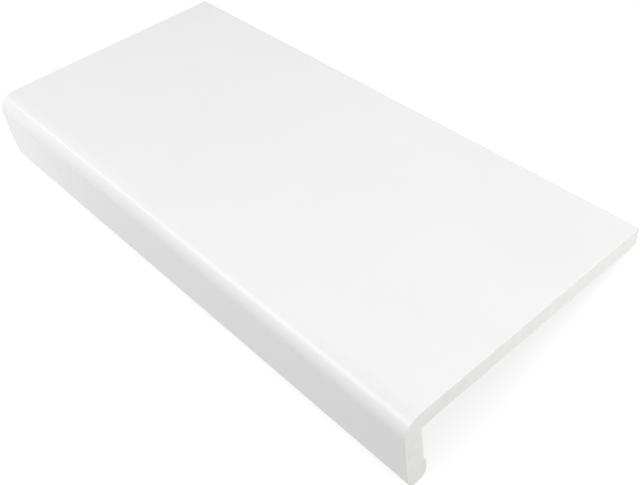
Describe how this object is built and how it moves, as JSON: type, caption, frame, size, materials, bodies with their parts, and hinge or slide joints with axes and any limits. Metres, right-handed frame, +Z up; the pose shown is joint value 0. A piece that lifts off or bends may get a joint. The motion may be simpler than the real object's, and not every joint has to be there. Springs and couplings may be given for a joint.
{
  "type": "window sill board",
  "caption": "Flat window sill board with a rounded nose and a downturned front leg ending in a beaded lip, for capping an old sill or a wall edge; cut square at its ends.",
  "frame": {"origin": "centre of the footprint, on the floor that the board lies on", "axes": "+X along the length, -Y towards the rounded nose, +Z up; the board lies as it rests unheld, leaning back on its lip and its lower back edge"},
  "size_m": [0.323, 0.1534, 0.0427],
  "materials": {
    "white_foam_plastic": "satin white extruded skin, matt where the ends are sawn"
  },
  "bodies": {
    "root": {"sill_board": "white_foam_plastic"}
  },
  "joints": []
}
